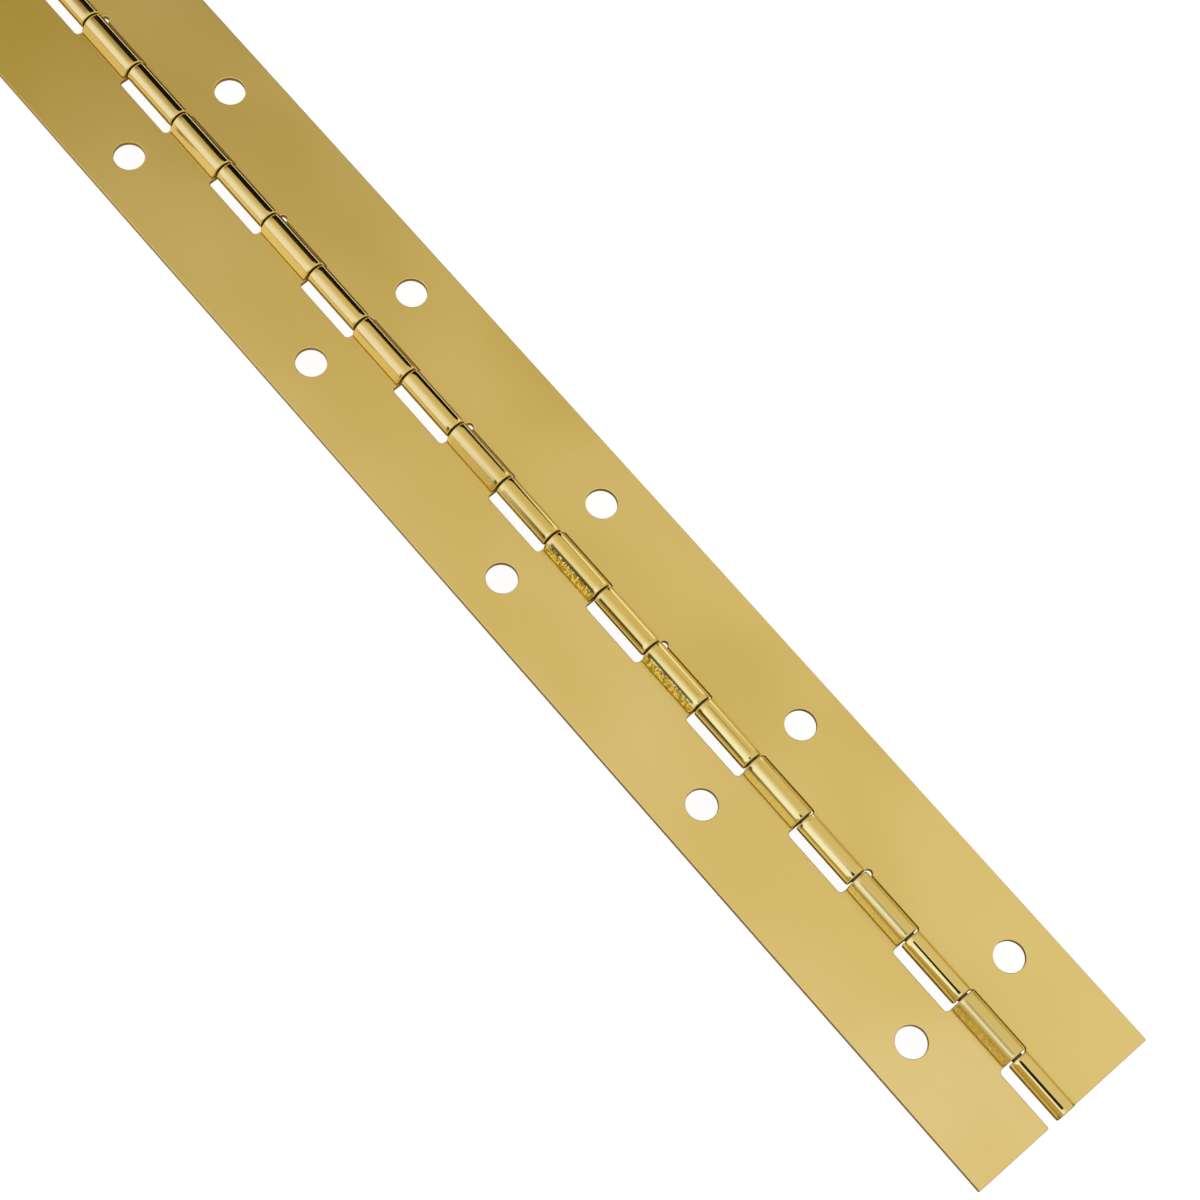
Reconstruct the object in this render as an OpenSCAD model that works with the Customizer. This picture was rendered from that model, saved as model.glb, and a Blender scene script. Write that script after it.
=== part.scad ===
// Continuous (piano) hinge, open flat, barrel side up.
// +X runs along the pin, +Y points to the fixed leaf, +Z is the side the barrel stands proud on.
// The undersides of both leaves and the bottom of the barrel lie on z = 0; units are millimetres.

/* [Leaves] */
// catalogue length along the pin, before the ends are trimmed
catalogue_length = 304.8; // [101.6:101.6:609.6]
// metal taken off each end when the hinge is cut from a longer strip
end_trim = 1.2; // [0:0.1:2]
// width across both leaves when open flat
open_width = 38.1; // [32:0.1:60]
// thickness of the sheet both leaves are rolled from
sheet_t = 0.95; // [0.7:0.05:1.2]
// radius of the corners where a notch meets a knuckle tab
notch_corner_r = 0.7; // [0.3:0.1:0.8]
// distance from the pin axis to the notch edge of the fixed leaf
fixed_notch_y = 2.7; // [2.6:0.05:3.5]
// distance from the pin axis to the notch edge of the swing leaf
swing_notch_y = 3.45; // [3:0.05:4.5]

/* [Knuckles] */
// length of one knuckle along the pin, gap included
knuckle_pitch = 12.7; // [12.7, 25.4]
// gap between two neighbouring knuckles
knuckle_gap = 0.35; // [0.1:0.05:0.4]
// outside diameter of the barrel
barrel_d = 4; // [3.8:0.1:5]
// lean of the straight end of the fixed leaf's rolled sheet, in degrees from upright
fixed_curl_lean = 10; // [5:1:20]
// lean of the straight end of the swing leaf's rolled sheet, in degrees from upright
swing_curl_lean = 26; // [15:1:30]
// gap between the end of the rolled sheet and the face of its leaf
curl_seam = 0.05; // [0.03:0.01:0.1]

/* [Pin] */
// radial clearance between the pin and the knuckle bores
pin_clearance = 0.05; // [0.03:0.01:0.1]
// how far each end of the pin stays back from the end of the barrel
pin_inset = 0.1; // [0:0.05:0.5]
// chamfer on each end of the pin
pin_chamfer = 0.15; // [0.05:0.05:0.3]

/* [Screw holes] */
// diameter of the screw holes, a medium clearance hole for M5
hole_d = 5.5; // [4:0.1:6]
// distance from the pin axis to each row of holes
hole_row_y = 11.1; // [9:0.1:13]
// spacing of the holes along each row
hole_pitch = 50.8; // [50.8, 101.6]

/* [Hidden] */
$fn = 72;
cut_over = 1;
// the straight end of the roll starts a little inside the rolled part and is a hair thinner
hair = 0.01;
curl_overlap = 0.1;
barrel_r = barrel_d / 2;
bore_r = barrel_r - sheet_t;
pin_r = bore_r - pin_clearance;
leaf_w = open_width / 2;
knuckle_count = round(catalogue_length / knuckle_pitch);
hole_count = round(catalogue_length / hole_pitch);
hinge_length = catalogue_length - 2 * end_trim;
// the feed mark of the press tool: a small round bite repeated every fourth knuckle
feed_mark_step = 4;
feed_mark_r = 0.7;
feed_mark_reach = 0.5;

// middle of knuckle k along the pin, counted from the +X end
function knuckle_x(k) = catalogue_length / 2 - (k + 0.5) * knuckle_pitch;

// ends of knuckle k along the pin: half a gap short of its neighbours, trimmed at the hinge's ends
function knuckle_low(k) =
    knuckle_x(k) - knuckle_pitch / 2 + (k == knuckle_count - 1 ? end_trim : knuckle_gap / 2);
function knuckle_high(k) =
    knuckle_x(k) + knuckle_pitch / 2 - (k == 0 ? end_trim : knuckle_gap / 2);

// middle of hole k along the row, counted from the +X end
function hole_x(k) = catalogue_length / 2 - (k + 0.5) * hole_pitch;

// length of the straight end of the roll, from the barrel circle to just above the leaf
function curl_run(lean) = (barrel_r + bore_r * sin(lean) - sheet_t - curl_seam) / cos(lean);

// the rolled part of one knuckle: from the tab's edge under the pin, round and back down
module roll(k, lean) {
    length = knuckle_high(k) - knuckle_low(k);
    translate([knuckle_low(k), 0, barrel_r])
        rotate([90, 0, 90]) {
            rotate(-90)
                rotate_extrude(angle = lean - 270)
                    translate([bore_r, 0])
                        square([sheet_t, length]);
            rotate(lean)
                translate([bore_r + hair, -curl_run(lean), 0])
                    cube([sheet_t - 2 * hair, curl_run(lean) + curl_overlap, length]);
        }
}

// plan of one notch: rounded inner corners, run out past the pin axis and past the hinge's ends
module notch_plan(k, notch_y) {
    at_plus_end = k == 0;
    at_minus_end = k == knuckle_count - 1;
    x_low = at_minus_end ? -hinge_length / 2 - cut_over : knuckle_high(k + 1);
    x_high = at_plus_end ? hinge_length / 2 + cut_over : knuckle_low(k - 1);
    low_r = at_minus_end ? 0 : notch_corner_r;
    high_r = at_plus_end ? 0 : notch_corner_r;
    translate([x_low, -cut_over])
        square([x_high - x_low, notch_y - notch_corner_r + cut_over]);
    translate([x_low + low_r, -cut_over])
        square([x_high - x_low - low_r - high_r, notch_y + cut_over]);
    if (low_r > 0)
        translate([x_low + low_r, notch_y - low_r])
            circle(r = low_r);
    if (high_r > 0)
        translate([x_high - high_r, notch_y - high_r])
            circle(r = high_r);
}

// the small round bite the press tool leaves beside every fourth knuckle
module feed_mark(k, notch_y) {
    translate([knuckle_high(k + 1) + feed_mark_r, notch_y + feed_mark_reach - feed_mark_r])
        circle(r = feed_mark_r);
}

// plan of one leaf on the +Y side: the flat sheet with its tabs running in to the pin axis;
// first = 0 when the leaf owns the knuckle at the +X end, 1 when it owns the next one
module leaf_plan(first, notch_y, feed_marks) {
    difference() {
        translate([-hinge_length / 2, 0])
            square([hinge_length, leaf_w]);
        for (k = [1 - first : 2 : knuckle_count - 1])
            notch_plan(k, notch_y);
        if (feed_marks)
            for (k = [feed_mark_step - 1 : feed_mark_step : knuckle_count - 2])
                feed_mark(k, notch_y);
        for (k = [0 : hole_count - 1])
            translate([hole_x(k), hole_row_y])
                circle(d = hole_d);
    }
}

// one whole leaf on the +Y side
module leaf(first, notch_y, lean, feed_marks) {
    linear_extrude(height = sheet_t)
        leaf_plan(first, notch_y, feed_marks);
    for (k = [first : 2 : knuckle_count - 1])
        roll(k, lean);
}

module leaf_fixed() {
    color([0.78, 0.66, 0.38])
        leaf(0, fixed_notch_y, fixed_curl_lean, true);
}

module leaf_swing() {
    color([0.82, 0.70, 0.42])
        mirror([0, 1, 0])
            leaf(1, swing_notch_y, swing_curl_lean, false);
}

module hinge_pin() {
    length = hinge_length - 2 * pin_inset;
    color([0.55, 0.53, 0.50])
        translate([-length / 2, 0, barrel_r])
            rotate([0, 90, 0]) {
                translate([0, 0, pin_chamfer])
                    cylinder(r = pin_r, h = length - 2 * pin_chamfer);
                cylinder(r1 = pin_r - pin_chamfer, r2 = pin_r, h = pin_chamfer);
                translate([0, 0, length - pin_chamfer])
                    cylinder(r1 = pin_r, r2 = pin_r - pin_chamfer, h = pin_chamfer);
            }
}

leaf_fixed();
leaf_swing();
hinge_pin();
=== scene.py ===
import math

import bpy
import numpy as np
from mathutils import Matrix, Vector
from mathutils.geometry import delaunay_2d_cdt


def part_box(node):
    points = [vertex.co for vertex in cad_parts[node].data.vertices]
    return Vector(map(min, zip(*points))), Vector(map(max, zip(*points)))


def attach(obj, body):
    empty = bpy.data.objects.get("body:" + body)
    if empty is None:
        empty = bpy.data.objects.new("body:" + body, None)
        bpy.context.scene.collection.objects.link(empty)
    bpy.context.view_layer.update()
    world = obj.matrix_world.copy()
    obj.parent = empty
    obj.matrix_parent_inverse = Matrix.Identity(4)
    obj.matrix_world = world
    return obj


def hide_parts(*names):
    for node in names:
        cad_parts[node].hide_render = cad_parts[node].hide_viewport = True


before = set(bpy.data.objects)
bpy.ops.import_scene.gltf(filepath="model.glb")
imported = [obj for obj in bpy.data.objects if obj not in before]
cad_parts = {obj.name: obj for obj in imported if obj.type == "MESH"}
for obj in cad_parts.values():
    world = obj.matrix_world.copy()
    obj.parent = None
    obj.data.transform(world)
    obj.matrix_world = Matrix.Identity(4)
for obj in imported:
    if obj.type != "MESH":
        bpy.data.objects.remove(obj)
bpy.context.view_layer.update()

# ---------------------------------------------------------------- sizes, in millimetres
MM = 0.001
lo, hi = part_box("leaf_fixed")
HALF_LENGTH = hi[0] / MM
LEAF_WIDTH = hi[1] / MM
LEAF_CORNER_R = 0.25

# the sheet and the roll
SHEET_T = 0.95
BARREL_R = 2.0
BORE_R = BARREL_R - SHEET_T
MEAN_R = (BARREL_R + BORE_R) / 2
SEAM = 0.05
ARC_STEP = math.radians(5)

# the knuckles: number 0 is at the +X end, and each leaf owns every other one
KNUCKLES = 24
PITCH = 12.7
GAP = 0.35
HALF_STRIP = KNUCKLES * PITCH / 2
TAB_CORNER_R = 0.6

# the notches between the tabs, and the press tool's feed mark in every fourth knuckle's corner
FIXED_NOTCH_Y = 2.7
SWING_NOTCH_Y = 3.45
NOTCH_CORNER_R = 0.7
FEED_STEP = 4
FEED_R = 0.7
FEED_REACH = 0.5

# the screw holes
HOLES = 6
HOLE_PITCH = 50.8
HOLE_ROW_Y = 11.1
HOLE_R = 2.75
HOLE_SIDES = 72

# rounding of the sheared edges, and how far it takes to change on the way into the roll
TOP_EDGE_R = 0.18
UNDER_EDGE_R = 0.06
KNUCKLE_EDGE_R = 0.24
ROLL_BLEND = 1.2

# the press leaves each roll a little oval, and drawn in at its ends
OVAL = 0.03
CROWN = 0.035
CROWN_REACH = 1.0

# the pin
PIN_R = 1.0
PIN_HALF = HALF_LENGTH - 0.1
PIN_SIDES = 48


def knuckle_x(k):
    return HALF_STRIP - (k + 0.5) * PITCH


def knuckle_low(k):
    return max(knuckle_x(k) - PITCH / 2 + GAP / 2, -HALF_LENGTH)


def knuckle_high(k):
    return min(knuckle_x(k) + PITCH / 2 - GAP / 2, HALF_LENGTH)


def hole_x(h):
    return HALF_STRIP - (h + 0.5) * HOLE_PITCH


def curl_turn(lean):
    """How far the sheet turns before the straight end of the roll."""
    return math.radians(270) - lean


def curl_run(lean):
    """Length of the straight end of the roll, down to the seam above the leaf."""
    return (BARREL_R + BORE_R * math.sin(lean) - SHEET_T - SEAM) / math.cos(lean)


def curl_end(lean):
    """The tab's end on the flat blank: the rolled length and the straight end, beyond v = 0."""
    return -MEAN_R * curl_turn(lean) - curl_run(lean)


# ---------------------------------------------------------------- the flat blank of a leaf
def arc(centre, radius, start, end, step=math.radians(12)):
    """Points on an arc, both ends included."""
    n = max(2, int(math.ceil(abs(end - start) / step)))
    angles = [start + (end - start) * i / n for i in range(n + 1)]
    return [(centre[0] + radius * math.cos(a), centre[1] + radius * math.sin(a)) for a in angles]


def between(start, end, count):
    """The inner points of a straight line cut into count equal lengths, ends left out."""
    start, end = np.array(start), np.array(end)
    return [tuple(start + (end - start) * i / count) for i in range(1, count)]


def roll_lines(lean):
    """The v of each line across a tab, from the flat sheet to the tab's end."""
    turn, run = curl_turn(lean), curl_run(lean)
    n = int(math.ceil(turn / ARC_STEP))
    lines = [-MEAN_R * turn * i / n for i in range(n + 1)]
    return lines + [lines[-1] - run * f for f in (0.25, 0.5, 0.72)]


def tab_path(k, notch_y, lean, feed_mark):
    """One tab's outline, from the notch on its -X side round to the notch on its +X side."""
    low, high, end = knuckle_low(k), knuckle_high(k), curl_end(lean)
    r, c = TAB_CORNER_R, NOTCH_CORNER_R
    lines = [v for v in (notch_y - c - 0.35, *roll_lines(lean)) if end + r + 0.05 < v < notch_y - c - 0.2]
    path = []
    if k < KNUCKLES - 1:
        path += arc((low - c, notch_y - c), c, math.pi / 2, 0)
    path += [(low, v) for v in lines]
    path += arc((low + r, end + r), r, math.pi, 1.5 * math.pi)
    path += between((low + r, end), (high - r, end), 12)
    path += arc((high - r, end + r), r, 1.5 * math.pi, 2 * math.pi)
    path += [(high, v) for v in reversed(lines)]
    if k > 0 and feed_mark:
        middle = notch_y + FEED_REACH - FEED_R
        path += arc((high + FEED_R, middle), FEED_R, math.pi, math.asin((notch_y - middle) / FEED_R))
    elif k > 0:
        path += arc((high + c, notch_y - c), c, math.pi, math.pi / 2)
    return path


def blank_outline(first, notch_y, leans, feed_marks):
    """The outline of a leaf's blank, anticlockwise, in the plane of x and v."""
    r, top = LEAF_CORNER_R, LEAF_WIDTH
    path = []
    owned = [k for k in range(KNUCKLES - 1, -1, -1) if k % 2 == first]
    if owned[0] != KNUCKLES - 1:
        path += arc((-HALF_LENGTH + r, notch_y + r), r, math.pi, 1.5 * math.pi)
    for k in owned:
        mark = feed_marks and (k - 1) % FEED_STEP == FEED_STEP - 1
        path += tab_path(k, notch_y, leans[k], mark)
        if k > 0:
            start = knuckle_high(k) + 2 * FEED_R + 0.2
            stop = (knuckle_low(k - 2) if k > 1 else HALF_LENGTH) - NOTCH_CORNER_R - 0.4
            path += [(start, notch_y), *between((start, notch_y), (stop, notch_y), 8), (stop, notch_y)]
    if owned[-1] != 0:
        path += arc((HALF_LENGTH - r, notch_y + r), r, 1.5 * math.pi, 2 * math.pi)
    path += between((HALF_LENGTH, notch_y), (HALF_LENGTH, top), 10)
    path += arc((HALF_LENGTH - r, top - r), r, 0, math.pi / 2)
    path += between((HALF_LENGTH, top), (-HALF_LENGTH, top), 2 * KNUCKLES)
    path += arc((-HALF_LENGTH + r, top - r), r, math.pi / 2, math.pi)
    path += between((-HALF_LENGTH, top), (-HALF_LENGTH, notch_y), 10)
    return np.array(path)


def hole_outline(h):
    """A screw hole's outline, clockwise."""
    a = -np.arange(HOLE_SIDES) * 2 * math.pi / HOLE_SIDES
    return np.stack([hole_x(h) + HOLE_R * np.cos(a), HOLE_ROW_Y + HOLE_R * np.sin(a)], axis=1)


def outward(points):
    """Unit normals out of the sheet and the mitre of each point of a closed outline."""
    before = points - np.roll(points, 1, axis=0)
    after = np.roll(points, -1, axis=0) - points
    before /= np.linalg.norm(before, axis=1)[:, None]
    after /= np.linalg.norm(after, axis=1)[:, None]
    n = np.stack([before[:, 1] + after[:, 1], -before[:, 0] - after[:, 0]], axis=1)
    n /= np.linalg.norm(n, axis=1)[:, None]
    edge = np.stack([after[:, 1], -after[:, 0]], axis=1)
    mitre = 1 / np.clip((n * edge).sum(axis=1), 0.6, 1)
    return n, mitre


def edge_profile(v):
    """(inset, height, outward share, upward share) from the underside to the top, for points at v."""
    rolled = np.clip((ROLL_BLEND - v) / ROLL_BLEND, 0, 1)
    under = UNDER_EDGE_R + (KNUCKLE_EDGE_R - UNDER_EDGE_R) * rolled
    top = TOP_EDGE_R + 0 * v
    rows = []
    for a in (math.pi / 2 * i / 4 for i in range(5)):
        rows.append((under * (1 - math.sin(a)), under * (1 - math.cos(a)), math.sin(a), -math.cos(a)))
    for a in (math.pi / 2 * i / 4 for i in range(5)):
        rows.append((top * (1 - math.cos(a)), SHEET_T - top * (1 - math.sin(a)), math.cos(a), math.sin(a)))
    return rows


def cap_points(first, notch_y, leans):
    """Points and lines inside the blank: lines across each tab, so that it bends cleanly, and a grid."""
    points, edges = [], []
    from_end = np.array([0.35, 0.55, 0.8, 1.1, 1.5])
    for k in range(first, KNUCKLES, 2):
        low, high, end = knuckle_low(k), knuckle_high(k), curl_end(leans[k])
        xs = np.concatenate([low + from_end, np.linspace(low + 2.4, high - 2.4, 8), (high - from_end)[::-1]])
        for v in roll_lines(leans[k]):
            if v > end + TAB_CORNER_R + 0.05:
                start = len(points)
                points += [(x, v) for x in xs]
                edges += [(start + i, start + i + 1) for i in range(len(xs) - 1)]
    for v in np.arange(notch_y + 1.3, LEAF_WIDTH - 0.8, 2.2):
        for x in np.arange(-HALF_LENGTH + 1.6, HALF_LENGTH - 1.2, PITCH / 4):
            if all(math.hypot(x - hole_x(h), v - HOLE_ROW_Y) > HOLE_R + 1.0 for h in range(HOLES)):
                points.append((x, v))
    return points, edges


class Blank:
    """One leaf while it is flat: points (x, v, height), their normals, the sheared share and the faces."""

    def __init__(self):
        self.verts, self.normals, self.cut, self.faces = [], [], [], []

    def shear(self, points):
        """Adds the rounded edge along a closed outline, and gives its lowest and highest rings."""
        n, mitre = outward(points)
        rings = []
        for inset, height, out, up in edge_profile(points[:, 1]):
            ring = points - n * (inset * mitre)[:, None]
            rings.append(list(range(len(self.verts), len(self.verts) + len(ring))))
            self.verts += [(p[0], p[1], h) for p, h in zip(ring, height)]
            self.normals += [(m[0] * out, m[1] * out, up) for m in n]
            self.cut += [out] * len(ring)
        for lower, upper in zip(rings, rings[1:]):
            for i in range(len(points)):
                e = (i + 1) % len(points)
                self.faces.append((lower[i], lower[e], upper[e], upper[i]))
        return rings[0], rings[-1]

    def fill(self, rings, inner, inner_edges, height, up):
        """Adds one face of the sheet, inside the outline's ring and outside the rings of the holes."""
        ids, edges, hole_of = [], [], {}
        for h, ring in enumerate(rings[1:]):
            hole_of.update({i: h for i in ring})
        for ring in rings:
            start = len(ids)
            ids += ring
            edges += [(start + i, start + (i + 1) % len(ring)) for i in range(len(ring))]
        start = len(ids)
        coords = [Vector(self.verts[i][:2]) for i in ids] + [Vector(p) for p in inner]
        edges += [(start + a, start + b) for a, b in inner_edges]
        points, _, triangles, sources, _, _ = delaunay_2d_cdt(coords, edges, [], 1, 1e-7)
        place = []
        for point, source in zip(points, sources):
            known = [s for s in source if s < start]
            if known:
                place.append(ids[known[0]])
            else:
                place.append(len(self.verts))
                self.verts.append((point[0], point[1], height))
                self.normals.append((0, 0, up))
                self.cut.append(0.0)
        for triangle in triangles:
            face = [place[i] for i in triangle]
            rim = {hole_of.get(i) for i in face}
            if len(rim) == 1 and None not in rim:
                continue
            self.faces.append(tuple(face if up > 0 else face[::-1]))


# ---------------------------------------------------------------- bending the blank round the pin
def squeeze(a, turn, phase):
    """The radius at angle a as a share of a true circle's: a rolled knuckle is a little oval."""
    bent = np.clip(-a - math.pi / 2, 0, turn)
    return 1 - OVAL * np.sin(math.pi * bent / turn) ** 2 * (1 - np.cos(2 * a - phase)) / 2


def bend(x, v, w, normal, lean, phase, low, high):
    """Takes the blank to the rolled leaf. normal is in the blank's own directions; all arrays."""
    turn = curl_turn(lean)
    bent = np.clip(-v / MEAN_R, 0, turn)
    run = np.maximum(-v - MEAN_R * turn, 0)
    a = -math.pi / 2 - bent
    flat = v >= 0
    near_low = np.clip(1 - (x - low) / CROWN_REACH, 0, 1)
    near_high = np.clip(1 - (high - x) / CROWN_REACH, 0, 1)
    outer = (1 - w / SHEET_T) * np.clip(bent / ROLL_BLEND, 0, 1)
    r = (BARREL_R - w) * squeeze(a, turn, phase) - CROWN * outer * (near_low**2 + near_high**2)
    y = np.where(flat, v, r * np.cos(a) + run * np.sin(a))
    z = np.where(flat, w, BARREL_R + r * np.sin(a) - run * np.cos(a))
    along = np.stack([-np.sin(a), np.cos(a)], axis=1)
    up = np.stack([-np.cos(a), -np.sin(a)], axis=1)
    tip = 2 * CROWN / CROWN_REACH * outer * (near_high - near_low)
    n_x = normal[:, 0] + tip * np.abs(normal[:, 2])
    n_y = normal[:, 1] * along[:, 0] + normal[:, 2] * up[:, 0]
    n_z = normal[:, 1] * along[:, 1] + normal[:, 2] * up[:, 1]
    slope = (squeeze(a + 0.005, turn, phase) - squeeze(a - 0.005, turn, phase)) / 0.01
    swivel = np.where(flat | (run > 0), 0, -slope)
    turned_y = n_y * np.cos(swivel) - n_z * np.sin(swivel)
    turned_z = n_y * np.sin(swivel) + n_z * np.cos(swivel)
    return np.stack([x, y, z], axis=1), np.stack([n_x, turned_y, turned_z], axis=1)


def link(name, mesh):
    """Checks a finished mesh and puts it in the scene."""
    mesh.validate()
    obj = bpy.data.objects.new(name, mesh)
    bpy.context.scene.collection.objects.link(obj)
    return obj


def leaf_mesh(name, first, side, notch_y, leans, phases, dents, scuffs, feed_marks):
    """One leaf as a single closed sheet: its blank with rounded sheared edges, bent round the pin."""
    blank = Blank()
    outlines = [blank_outline(first, notch_y, leans, feed_marks)] + [hole_outline(h) for h in range(HOLES)]
    lowest, highest = zip(*[blank.shear(points) for points in outlines])
    inner, inner_edges = cap_points(first, notch_y, leans)
    blank.fill(lowest, inner, inner_edges, 0.0, -1.0)
    blank.fill(highest, inner, inner_edges, SHEET_T, 1.0)

    verts, normals, faces = np.array(blank.verts), np.array(blank.normals), blank.faces
    k_of = np.clip(((HALF_STRIP - verts[:, 0]) // PITCH).astype(int), 0, KNUCKLES - 1)
    lean, phase = np.array(leans)[k_of], np.array(phases)[k_of]
    low = np.array([knuckle_low(k) for k in range(KNUCKLES)])[k_of]
    high = np.array([knuckle_high(k) for k in range(KNUCKLES)])[k_of]
    places, directions = bend(*verts.T, normals, lean, phase, low, high)
    directions /= np.linalg.norm(directions, axis=1)[:, None]
    if side < 0:
        places[:, 1] *= -1
        directions[:, 1] *= -1
        faces = [f[::-1] for f in faces]

    mesh = bpy.data.meshes.new(name)
    mesh.from_pydata((places * MM).tolist(), [], faces)
    where = (verts * MM).astype(np.float32).ravel()
    mesh.attributes.new("blank", "FLOAT_VECTOR", "POINT").data.foreach_set("vector", where)
    # a dent lies on the straight end of the roll, and a scuff all over it
    run = -verts[:, 1] - MEAN_R * curl_turn(lean)
    dent = np.array(dents)[k_of] * np.clip(run / 0.5 + 0.6, 0, 1)
    for layer, values in (("cut", blank.cut), ("scuff", np.array(scuffs)[k_of]), ("dent", dent)):
        mesh.attributes.new(layer, "FLOAT", "POINT").data.foreach_set("value", np.array(values, np.float32))
    mesh.polygons.foreach_set("use_smooth", [True] * len(mesh.polygons))
    mesh.normals_split_custom_set_from_vertices(directions.tolist())
    return link(name, mesh)


def pin_mesh(name):
    """The pin: drawn wire with a rolled edge and a shallow punch mark at each end."""
    end = PIN_HALF
    half = [(end - 0.10, 0.0), (end - 0.09, 0.12), (end - 0.02, 0.30), (end, 0.42), (end, 0.70)]
    for t in np.linspace(0.15, math.pi / 2, 6):
        half.append((end - 0.2 * (1 - math.cos(t)), PIN_R - 0.2 + 0.2 * math.sin(t)))
    half += [(end * f, PIN_R) for f in (0.96, 0.9, 0.75, 0.5, 0.25)]
    profile = half + [(0.0, PIN_R)] + [(-x, r) for x, r in half[::-1]]
    n, rings = PIN_SIDES, len(profile) - 2
    verts = [(profile[0][0], 0, 0)]
    for x, r in profile[1:-1]:
        verts += [(x, r * math.cos(2 * math.pi * i / n), r * math.sin(2 * math.pi * i / n)) for i in range(n)]
    verts.append((profile[-1][0], 0, 0))
    faces = []
    for i in range(n):
        e = (i + 1) % n
        faces.append((0, 1 + i, 1 + e))
        faces.append((len(verts) - 1, 1 + (rings - 1) * n + e, 1 + (rings - 1) * n + i))
        for j in range(rings - 1):
            a = 1 + j * n
            faces.append((a + i, a + n + i, a + n + e, a + e))
    mesh = bpy.data.meshes.new(name)
    mesh.from_pydata([(x * MM, y * MM, (z + BARREL_R) * MM) for x, y, z in verts], [], faces)
    mesh.polygons.foreach_set("use_smooth", [True] * len(mesh.polygons))
    return link(name, mesh)


# ---------------------------------------------------------------- the pieces
# the press leaves each roll a little different: how far its end leans in, its ovality and its dents
rng = np.random.default_rng(7)
fixed_leans = [math.radians(10 + d) for d in rng.uniform(-1.5, 1.5, KNUCKLES)]
swing_leans = [math.radians(26 + d) for d in rng.uniform(-2.5, 2.5, KNUCKLES)]
swing_leans[3], swing_leans[5] = math.radians(19), math.radians(22)
phases = rng.uniform(0, 2 * math.pi, KNUCKLES)
dents = rng.uniform(0.05, 0.2, KNUCKLES)
dents[[1, 3, 5, 7, 9]] = 1.6, 0.6, 0.3, 6.0, 4.0
scuffs = rng.uniform(0.0, 0.25, KNUCKLES)
scuffs[[1, 3]] = 1.0, 0.8
fixed = leaf_mesh("leaf_fixed_sheet", 0, 1, FIXED_NOTCH_Y, fixed_leans, phases, 0 * dents, scuffs, True)
swing = leaf_mesh("leaf_swing_sheet", 1, -1, SWING_NOTCH_Y, swing_leans, phases, dents, scuffs, False)
for piece, node, body in ((fixed, "leaf_fixed", "fixed_side"), (swing, "leaf_swing", "swing_side")):
    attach(piece, body)
    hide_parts(node)

pin = pin_mesh("hinge_pin_wire")
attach(pin, "fixed_side")
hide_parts("hinge_pin")


# ---------------------------------------------------------------- materials
class Nodes:
    """A few short calls for making a node tree."""

    def __init__(self, tree):
        self.tree = tree

    def new(self, kind, **settings):
        node = self.tree.nodes.new(kind)
        for key, value in settings.items():
            setattr(node, key, value)
        return node

    def put(self, socket, value):
        """Links a socket or sets a value; a colour may leave out its alpha."""
        if isinstance(value, bpy.types.NodeSocket):
            self.tree.links.new(value, socket)
        elif socket.type == "RGBA" and len(value) == 3:
            socket.default_value = (*value, 1)
        else:
            socket.default_value = value

    def attribute(self, name, output="Fac"):
        return self.new("ShaderNodeAttribute", attribute_name=name).outputs[output]

    def axes(self, vector):
        node = self.new("ShaderNodeSeparateXYZ")
        self.put(node.inputs[0], vector)
        return node.outputs

    def maths(self, operation, a, b=None, clamp=False):
        node = self.new("ShaderNodeMath", operation=operation, use_clamp=clamp)
        for socket, value in zip(node.inputs, (a, b)):
            if value is not None:
                self.put(socket, value)
        return node.outputs[0]

    def times(self, *factors):
        result = factors[0]
        for factor in factors[1:]:
            result = self.maths("MULTIPLY", result, factor)
        return result

    def plus(self, *terms, clamp=False):
        result = terms[0]
        for term in terms[1:]:
            result = self.maths("ADD", result, term, clamp=clamp and term is terms[-1])
        return result

    def ramp(self, value, start, end, low=0.0, high=1.0, kind="SMOOTHSTEP"):
        """low before start, high beyond end, and a smooth step between."""
        node = self.new("ShaderNodeMapRange", interpolation_type=kind)
        settings = {"Value": value, "From Min": start, "From Max": end, "To Min": low, "To Max": high}
        for name, setting in settings.items():
            self.put(node.inputs[name], setting)
        return node.outputs["Result"]

    def band(self, value, start, full, fade, end):
        """1 between full and fade, 0 before start and beyond end."""
        return self.times(self.ramp(value, start, full), self.ramp(value, end, fade))

    def mix(self, factor, a, b):
        node = self.new("ShaderNodeMix", data_type="RGBA")
        self.put(node.inputs[0], factor)
        self.put(node.inputs[6], a)
        self.put(node.inputs[7], b)
        return node.outputs[2]

    def noise(self, vector, scale, detail=2.0, rough=0.5):
        node = self.new("ShaderNodeTexNoise")
        for name, v in (("Vector", vector), ("Scale", scale), ("Detail", detail), ("Roughness", rough)):
            self.put(node.inputs[name], v)
        return node.outputs["Fac"]

    def stretch(self, vector, scale):
        node = self.new("ShaderNodeMapping")
        self.put(node.inputs["Vector"], vector)
        self.put(node.inputs["Scale"], scale)
        return node.outputs["Vector"]


def new_material(name):
    """A material with its nodes and its Principled shader."""
    material = bpy.data.materials.new(name)
    material.use_nodes = True
    return material, Nodes(material.node_tree), material.node_tree.nodes["Principled BSDF"]


# the brass's tones by place on the flat blank, in metres: the rolled and grain tones are the metal's own
# finish; the far tone is painted shade towards the far end, and the dent and crush tones are a painted
# highlight and painted shade on the crushed rolls
ROLL_START, ROLL_FULL = 0.0034, 0.0004
FAR_SHADE_START, FAR_SHADE_FULL = -0.045, -0.110
ROLL_TONE = (0.81, 0.655, 0.225)
FAR_SHADE_TONE = (0.62, 0.465, 0.04)
GRAIN_TONE = (0.82, 0.64, 0.20)
DENT_HIGHLIGHT_TONE = (0.95, 0.76, 0.10)
CRUSH_SHADE_TONE = (0.42, 0.30, 0.03)


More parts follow.
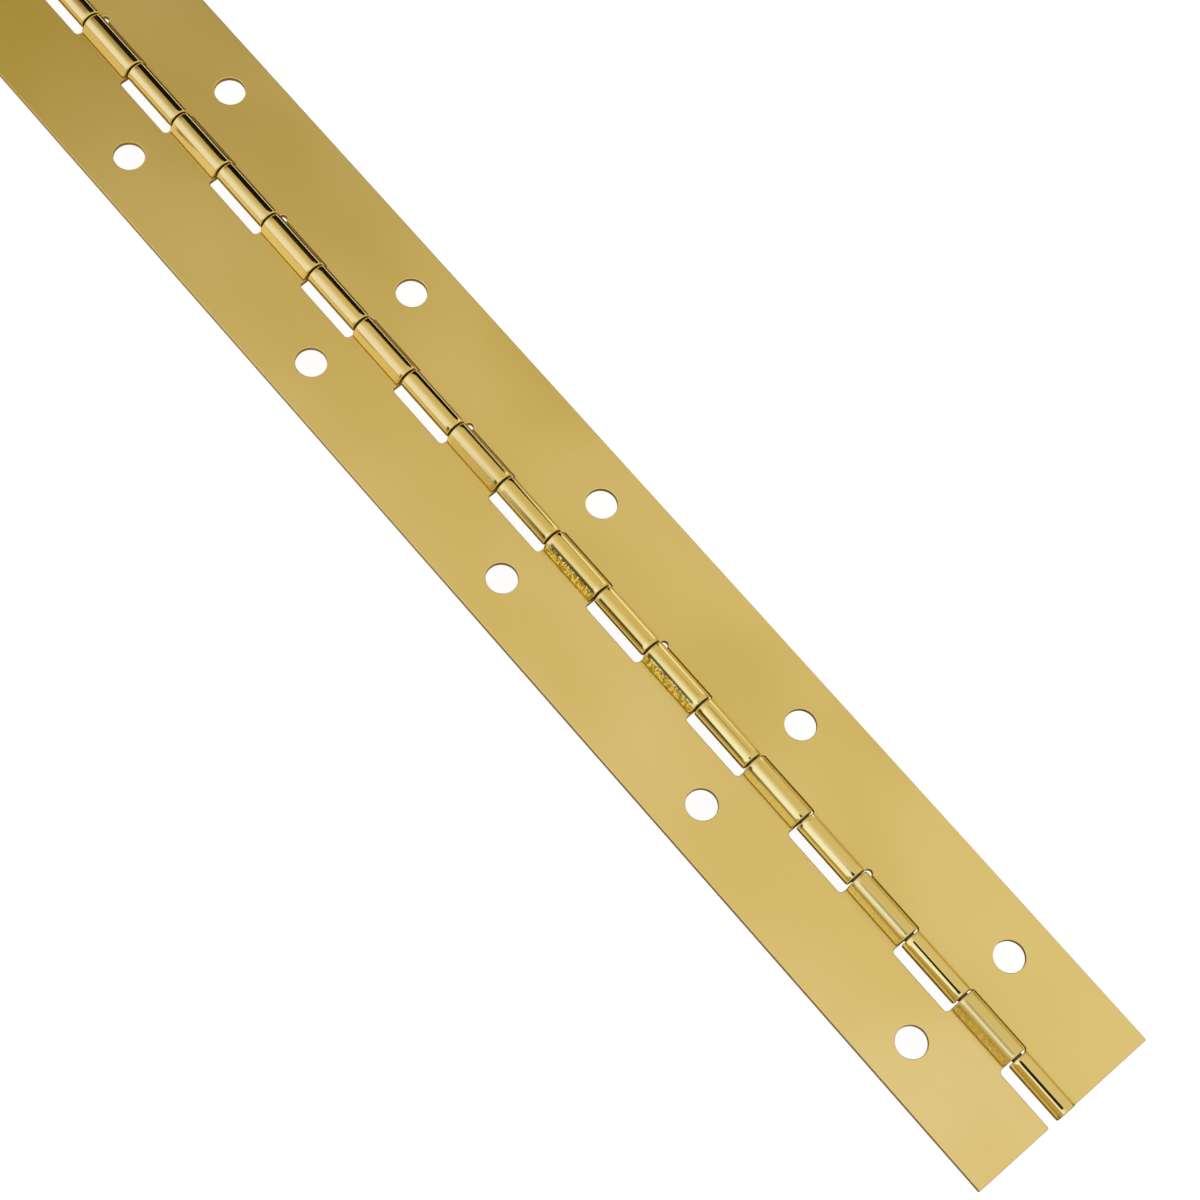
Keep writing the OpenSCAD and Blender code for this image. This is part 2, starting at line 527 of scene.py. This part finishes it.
def bright_brass(name, tones, leaf_rough, roll_rough, seed, far_shade, shear_and_shade_start, shear_and_shade_tone):
    """Bright brass sheet: satin on the leaves, burnished where it is rolled round the pin."""
    material, n, shader = new_material(name)
    blank = n.attribute("blank", "Vector")
    cut, dent, scuff = (n.attribute(layer) for layer in ("cut", "dent", "scuff"))
    x, v, _ = n.axes(blank)
    shift = n.new("ShaderNodeVectorMath", operation="ADD")
    n.put(shift.inputs[0], blank)
    n.put(shift.inputs[1], (seed, seed * 0.37, 0.0))
    here = shift.outputs[0]
    cloud = n.noise(n.stretch(here, (1.0, 1.3, 1.0)), 24.0, 1.5)
    grain = n.noise(n.stretch(here, (1.0, 22.0, 22.0)), 160.0, 4.0, 0.6)
    crush = n.noise(n.stretch(here, (1.0, 0.6, 1.0)), 1500.0, 1.5)
    specks = n.noise(here, 2600.0, 2.0)

    rolled = n.ramp(v, ROLL_START, ROLL_FULL)
    crushed = n.ramp(dent, 0.3, 4.0)
    sheared = n.ramp(cut, n.ramp(rolled, 0.0, 1.0, shear_and_shade_start, 0.85), 1.0)

    tone = n.mix(n.ramp(cloud, 0.34, 0.66), *tones)
    # painted shade: the swing leaf's colour darkens towards the far end
    tone = n.mix(n.ramp(x, FAR_SHADE_START, FAR_SHADE_FULL, 0.0, far_shade), tone, FAR_SHADE_TONE)
    tone = n.mix(rolled, tone, ROLL_TONE)
    tone = n.mix(n.times(n.ramp(grain, 0.35, 0.75), 0.08), tone, GRAIN_TONE)
    # painted highlight and painted shade on the crushed rolls: bright yellow glints and dark creases in the
    # colour
    tone = n.mix(n.times(crushed, 0.7), tone, DENT_HIGHLIGHT_TONE)
    tone = n.mix(n.times(n.ramp(crush, 0.55, 0.42), crushed, 0.8), tone, CRUSH_SHADE_TONE)
    # the sheared edges are darker as raw cut metal, and this darkening is also painted shade along the edges
    # and in the slits beside the knuckles
    tone = n.mix(n.times(sheared, 0.85), tone, shear_and_shade_tone)
    n.put(shader.inputs["Base Color"], tone)
    shader.inputs["Metallic"].default_value = 1.0

    rough = n.plus(
        n.ramp(rolled, 0.0, 1.0, leaf_rough, roll_rough, "LINEAR"),
        n.times(n.maths("SUBTRACT", grain, 0.5), 0.04),
        n.times(n.maths("SUBTRACT", cloud, 0.5), 0.06),
        n.times(scuff, rolled, 0.16),
        n.times(sheared, 0.25),
        clamp=True,
    )
    n.put(shader.inputs["Roughness"], rough)

    bump = n.new("ShaderNodeBump")
    bump.inputs["Strength"].default_value = 0.35
    bump.inputs["Distance"].default_value = 0.00025
    height = n.plus(cloud, n.times(grain, 0.004), n.times(crush, dent, 0.9), n.times(specks, 0.0008))
    n.put(bump.inputs["Height"], height)
    n.put(shader.inputs["Normal"], bump.outputs["Normal"])
    return material


def drawn_steel(name):
    """Drawn steel wire, with fine lines along its length."""
    material, n, shader = new_material(name)
    where = n.new("ShaderNodeTexCoord").outputs["Object"]
    drawn = n.noise(n.stretch(where, (1.0, 30.0, 30.0)), 200.0, 3.0)
    # very dark steel, which also stands in as painted shade in the gaps between the knuckles
    n.put(shader.inputs["Base Color"], n.mix(drawn, (0.10, 0.09, 0.08), (0.17, 0.16, 0.14)))
    n.put(shader.inputs["Roughness"], n.ramp(drawn, 0.3, 0.7, 0.35, 0.5))
    shader.inputs["Metallic"].default_value = 1.0
    return material


def floor_paper(name):
    """A white sheet to the camera; to the brass it is softer and warmer, with a painted shadow that darkens
    it under the near half.
    """
    material, n, shader = new_material(name)
    shader.inputs["Base Color"].default_value = (0.30, 0.30, 0.30, 1)
    shader.inputs["Roughness"].default_value = 0.9
    shader.inputs["Specular IOR Level"].default_value = 0.1
    shader.inputs["Emission Color"].default_value = (1, 1, 1, 1)
    shader.inputs["Emission Strength"].default_value = 0.88
    x = n.axes(n.new("ShaderNodeTexCoord").outputs["Object"])["X"]
    soft = n.new("ShaderNodeBsdfDiffuse")
    # painted shadow: darker and browner once x passes 10 to 20 mm, under the near half
    n.put(soft.inputs["Color"], n.mix(n.ramp(x, 0.010, 0.020), (0.66, 0.56, 0.32), (0.40, 0.32, 0.17)))
    choose = n.new("ShaderNodeMixShader")
    n.put(choose.inputs[0], n.new("ShaderNodeLightPath").outputs["Is Camera Ray"])
    n.put(choose.inputs[1], soft.outputs[0])
    n.put(choose.inputs[2], shader.outputs[0])
    n.put(material.node_tree.nodes["Material Output"].inputs["Surface"], choose.outputs[0])
    return material


fixed_brass = bright_brass(
    "brass_fixed",
    tones=((0.825, 0.672, 0.230), (0.912, 0.762, 0.305)),
    leaf_rough=0.30,
    roll_rough=0.05,
    seed=1.3,
    far_shade=0.0,
    shear_and_shade_start=0.45,
    shear_and_shade_tone=(0.58, 0.43, 0.15),
)
swing_brass = bright_brass(
    "brass_swing",
    tones=((0.880, 0.725, 0.275), (0.945, 0.800, 0.360)),
    leaf_rough=0.30,
    roll_rough=0.075,
    seed=4.1,
    far_shade=0.55,
    shear_and_shade_start=0.15,
    shear_and_shade_tone=(0.58, 0.44, 0.17),
)
fixed.data.materials.append(fixed_brass)
swing.data.materials.append(swing_brass)
pin.data.materials.append(drawn_steel("pin_steel"))

# ---------------------------------------------------------------- camera
AZ, EL, ROLL = math.radians(32.915), math.radians(66.796), math.radians(17.529)
TARGET = Vector((HALF_STRIP - 113.8, -0.72, SHEET_T)) * MM
DISTANCE = 0.4625


def photo_camera():
    """The camera at the photograph's viewing angle, rolled about its own line of sight."""
    back = Vector((math.sin(AZ) * math.cos(EL), -math.cos(AZ) * math.cos(EL), math.sin(EL)))
    level = (-back).cross(Vector((0, 0, 1))).normalized()
    up = level.cross(-back)
    rolled_right = level * math.cos(ROLL) + up * math.sin(ROLL)
    rolled_up = up * math.cos(ROLL) - level * math.sin(ROLL)
    data = bpy.data.cameras.new("camera")
    data.lens = 82.9
    data.sensor_width = 36
    data.clip_start = 0.01
    camera = bpy.data.objects.new("camera", data)
    bpy.context.scene.collection.objects.link(camera)
    place = Matrix((rolled_right, rolled_up, back)).transposed().to_4x4()
    place.translation = TARGET + back * DISTANCE
    camera.matrix_world = place
    return camera


bpy.context.scene.camera = photo_camera()

# ---------------------------------------------------------------- floor and light
# the floor lies just below the swing leaf's lowest reach, when that leaf is folded right back
FLOOR_Z = -0.018
FLOOR_HALF = 6.0
floor_mesh = bpy.data.meshes.new("floor")
corners = [(x * FLOOR_HALF, y * FLOOR_HALF, FLOOR_Z) for x, y in ((-1, -1), (1, -1), (1, 1), (-1, 1))]
floor_mesh.from_pydata(corners, [], [(0, 1, 2, 3)])
floor_mesh.materials.append(floor_paper("floor_paper"))
floor = bpy.data.objects.new("floor", floor_mesh)
bpy.context.scene.collection.objects.link(floor)


class Studio(Nodes):
    """The studio as the brass reflects it, painted by direction.

    side is the angle from straight up towards +Y, in degrees; tilt and turn are the slopes towards +X,
    against up and against +Y; far is 1 towards the hinge's far end.
    """

    def __init__(self, tree):
        super().__init__(tree)
        looking = self.new("ShaderNodeTexCoord").outputs["Generated"]
        self.dx, dy, dz = self.axes(looking)
        self.side = self.maths("DEGREES", self.maths("ARCTAN2", dy, dz))
        self.tilt = self.maths("DIVIDE", self.dx, self.maths("MAXIMUM", dz, 0.02))
        self.turn = self.maths("DIVIDE", self.dx, self.maths("MAXIMUM", dy, 0.02))
        self.haze = self.noise(looking, 5.0, 3.0, 0.6)
        self.far = self.ramp(self.dx, -0.24, -0.28)
        self.inside = self.band(self.dx, -0.60, -0.53, 0.28, 0.40)
        # the lower edge of the long softbox rises towards the near end
        rise = self.plus(
            self.ramp(self.dx, -0.18, -0.12, -60.0, -78.0),
            self.ramp(self.dx, -0.09, 0.0, 0.0, 28.0),
        )
        self.drop = self.maths("SUBTRACT", self.side, rise)

    def overhead(self):
        """The overhead softbox: brightest over the near end, darker and warmer towards the far end."""
        near_to_middle = self.ramp(self.tilt, 0.0, -0.34, kind="LINEAR")
        colour = self.mix(near_to_middle, (0.83, 0.762, 0.69), (0.748, 0.642, 0.44))
        colour = self.mix(self.ramp(self.tilt, -0.42, -0.57, kind="LINEAR"), colour, (0.30, 0.215, 0.04))
        colour = self.mix(self.ramp(self.haze, 0.40, 0.70, 0.0, 0.25), colour, (0.66, 0.56, 0.40))
        smudge = self.times(
            self.band(self.tilt, -0.21, -0.17, -0.17, -0.13),
            self.band(self.side, 6.0, 18.0, 22.0, 34.0),
        )
        colour = self.mix(smudge, colour, (0.50, 0.40, 0.16))
        return self.mix(self.ramp(self.tilt, -0.72, -1.00), colour, (0.90, 0.83, 0.72))

    def window(self, colour):
        """A low bright window on the +Y side."""
        mask = self.times(self.band(self.side, 58.0, 68.0, 94.0, 104.0), self.ramp(self.dx, -0.10, -0.18))
        return self.mix(self.times(mask, self.inside), colour, (1.15, 1.12, 1.25))

    def long_softbox(self, colour):
        """On the -Y side: wide and even towards the far end, narrow and bright at the near end."""
        narrow = self.times(self.ramp(self.side, 8.0, -46.0), self.ramp(self.drop, -4.0, 4.0))
        wide = self.band(self.side, -122.0, -92.0, -50.0, 10.0)
        glow = self.mix(self.ramp(self.dx, -0.22, -0.15), (0.94, 0.96, 1.05), (1.13, 1.26, 2.00))
        glow = self.mix(self.far, glow, (1.04, 1.05, 1.62))
        return self.mix(self.times(self.mix(self.far, narrow, wide), self.inside), colour, glow)

    def dim_room(self, colour):
        """The dim end of the room, below the long softbox."""
        mask = self.times(self.ramp(self.drop, 2.0, -6.0), self.maths("SUBTRACT", 1.0, self.far))
        room = self.mix(self.ramp(self.haze, 0.42, 0.60), (0.06, 0.04, 0.012), (0.20, 0.155, 0.06))
        room = self.mix(self.ramp(self.dx, -0.15, -0.10), room, (0.58, 0.45, 0.20))
        return self.mix(self.times(mask, self.inside), colour, room)

    def black_screen(self, colour):
        """On the +Y side, beyond the end of the overhead softbox, with a line of light along its foot."""
        mask = self.times(self.ramp(self.tilt, -0.425, -0.475), self.ramp(self.turn, -0.275, -0.285))
        mask = self.times(mask, self.band(self.side, 20.0, 30.0, 83.0, 88.0))
        colour = self.mix(self.times(mask, self.inside), colour, (0.010, 0.007, 0.004))
        foot = self.times(self.band(self.side, 83.0, 89.0, 98.0, 103.0), self.ramp(self.dx, -0.26, -0.28))
        return self.mix(self.times(foot, self.inside), colour, (1.50, 1.55, 2.70))

    def camera_stand(self, colour):
        """The dark camera and its stand, above the near end."""
        off = self.maths("ABSOLUTE", self.maths("ADD", self.side, 21.0))
        reach = self.maths("DIVIDE", off, self.ramp(self.dx, -0.05, 0.01, 10.0, 15.0))
        mask = self.times(self.ramp(reach, 1.15, 0.75), self.band(self.dx, -0.085, -0.06, 0.04, 0.06))
        return self.mix(mask, colour, (0.02, 0.015, 0.012))

    def backdrop(self, colour):
        """The camera itself sees a plain pale backdrop."""
        seen = self.new("ShaderNodeLightPath").outputs["Is Camera Ray"]
        return self.mix(seen, colour, (0.95, 0.95, 0.95))


world = bpy.data.worlds.new("studio")
bpy.context.scene.world = world
world.use_nodes = True
studio = Studio(world.node_tree)
colour = studio.overhead()
for paint in (studio.window, studio.long_softbox, studio.dim_room, studio.black_screen, studio.camera_stand):
    colour = paint(colour)
background = world.node_tree.nodes["Background"]
studio.put(background.inputs["Color"], studio.backdrop(colour))
background.inputs["Strength"].default_value = 1.0
bpy.context.scene.view_settings.view_transform = "Standard"
